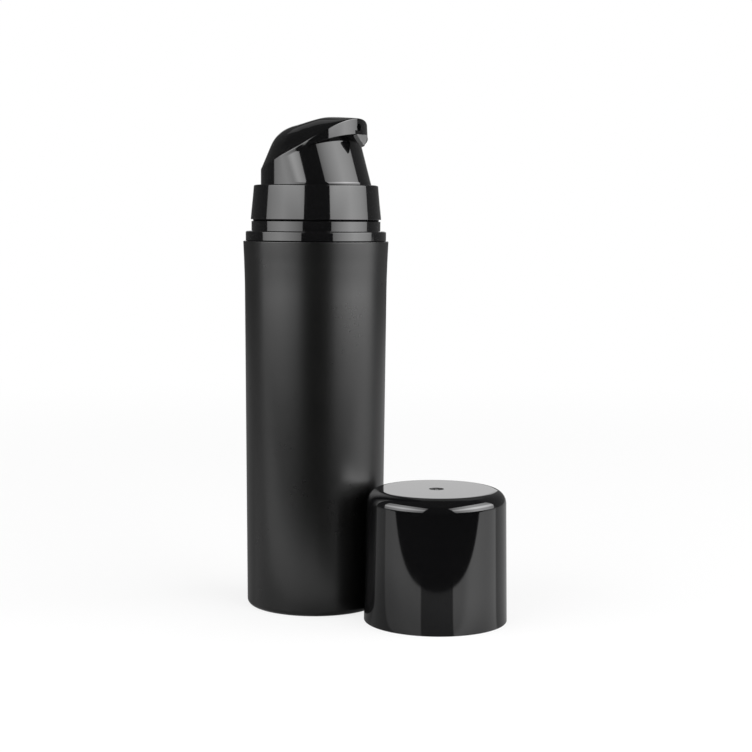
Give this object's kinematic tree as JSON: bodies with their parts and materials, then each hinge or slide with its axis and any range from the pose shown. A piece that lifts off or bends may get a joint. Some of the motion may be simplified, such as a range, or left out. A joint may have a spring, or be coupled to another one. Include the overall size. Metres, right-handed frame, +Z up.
{
  "type": "airless pump bottle",
  "caption": "Cylindrical airless pump bottle with a follower piston, a sprung pump, a swivelling helmet-shaped actuator and a separate overcap standing beside it.",
  "frame": {"origin": "centre of the bottle's standing ring, on the bottle's axis at the standing plane", "axes": "+Z up along the bottle's axis, +X the way the nozzle points, towards the overcap that stands beside the bottle"},
  "size_m": [0.0687, 0.036, 0.1191],
  "materials": {
    "matt_black": "finely matt moulded polypropylene",
    "gloss_black": "polished moulded polypropylene",
    "milky": "natural polyethylene",
    "gasket": "soft sealing ring",
    "steel": "stainless steel"
  },
  "bodies": {
    "bottle": {"bottle": "matt_black", "closure": "gloss_black", "collar": "gloss_black", "housing_gasket": "gasket", "pump_housing": "milky", "ball_cage": "milky", "guide_bush": "milky", "return_spring": "steel"},
    "follower": {"follower_piston": "milky"},
    "inlet_valve": {"inlet_ball": "steel"},
    "piston": {"pump_piston": "milky"},
    "head": {"stem": "milky", "actuator": "gloss_black"},
    "outlet_valve": {"outlet_ball": "steel"},
    "cap": {"overcap": "gloss_black"}
  },
  "joints": [
    {"name": "pump_stroke", "type": "slide", "parent": "bottle", "child": "piston", "axis": [0, 0, -1], "range_m": [0, 0.006], "stiffness_N_per_m": 500, "springref_m": -0.008, "deforming": ["return_spring"]},
    {"name": "head_swivel", "type": "hinge", "parent": "piston", "child": "head", "pos_m": [0, 0, 0.1028], "axis": [0, 0, 1], "continuous": true},
    {"name": "follower_slide", "type": "slide", "parent": "bottle", "child": "follower", "axis": [0, 0, 1], "range_m": [0, 0.067]},
    {"name": "inlet_ball_lift", "type": "slide", "parent": "bottle", "child": "inlet_valve", "axis": [0, 0, 1], "range_m": [0, 0.0008]},
    {"name": "outlet_ball_lift", "type": "slide", "parent": "head", "child": "outlet_valve", "axis": [0, 0, 1], "range_m": [0, 0.0008]},
    {"name": "cap_lift_away", "type": "slide", "parent": "bottle", "child": "cap", "axis": [0.3, 0, 0.9539], "range_m": [0, 0.13]}
  ]
}
